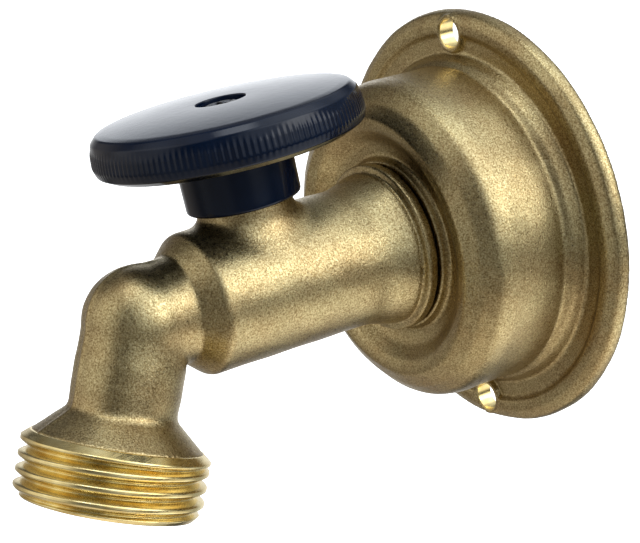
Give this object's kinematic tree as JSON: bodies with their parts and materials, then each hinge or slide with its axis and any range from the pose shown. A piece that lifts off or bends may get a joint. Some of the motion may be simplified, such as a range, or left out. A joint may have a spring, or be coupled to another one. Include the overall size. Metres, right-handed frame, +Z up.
{
  "type": "hose bib",
  "caption": "Quarter-turn brass hose bib with a bell-shaped wall flange, a round knob and an angled threaded hose outlet.",
  "frame": {"origin": "centre of the wall flange's back face, on the inlet's axis", "axes": "+Y into the wall along the inlet's axis, so the valve stands out along -Y; +Z up, with the stem's axis leaning 4 degrees from it, away from the wall; +X to the right when facing the wall"},
  "size_m": [0.0666, 0.0847, 0.0666],
  "materials": {
    "cast_brass": "sand-cast and shot-blasted brass",
    "turned_brass": "bright machined brass",
    "navy_paint": "glossy dark navy enamel on die-cast zinc",
    "seal_rubber": "black nitrile rubber",
    "ptfe": "white PTFE",
    "stainless": "stainless steel",
    "chrome_plate": "chrome plate"
  },
  "bodies": {
    "root": {"bell_flange": "cast_brass", "valve_body": "cast_brass", "inlet_adapter": "turned_brass", "flange_washer": "stainless", "adapter_o_ring": "seal_rubber", "seat_energiser": "seal_rubber", "inlet_seat": "ptfe", "outlet_seat": "ptfe", "thrust_washer": "ptfe", "packing_ring_lower": "ptfe", "packing_ring_upper": "ptfe", "packing_follower": "turned_brass", "gland_nut": "turned_brass"},
    "handle": {"knob": "navy_paint", "handle_screw": "stainless", "lock_washer": "stainless", "stop_disc": "stainless", "stem": "turned_brass", "stem_o_ring_lower": "seal_rubber", "stem_o_ring_upper": "seal_rubber", "ball": "chrome_plate"}
  },
  "joints": [
    {"name": "quarter_turn", "type": "hinge", "parent": "root", "child": "handle", "pos_m": [0, -0.04315, 0.02], "axis": [0, -0.0698, 0.9976], "range_deg": [0, 90]}
  ]
}
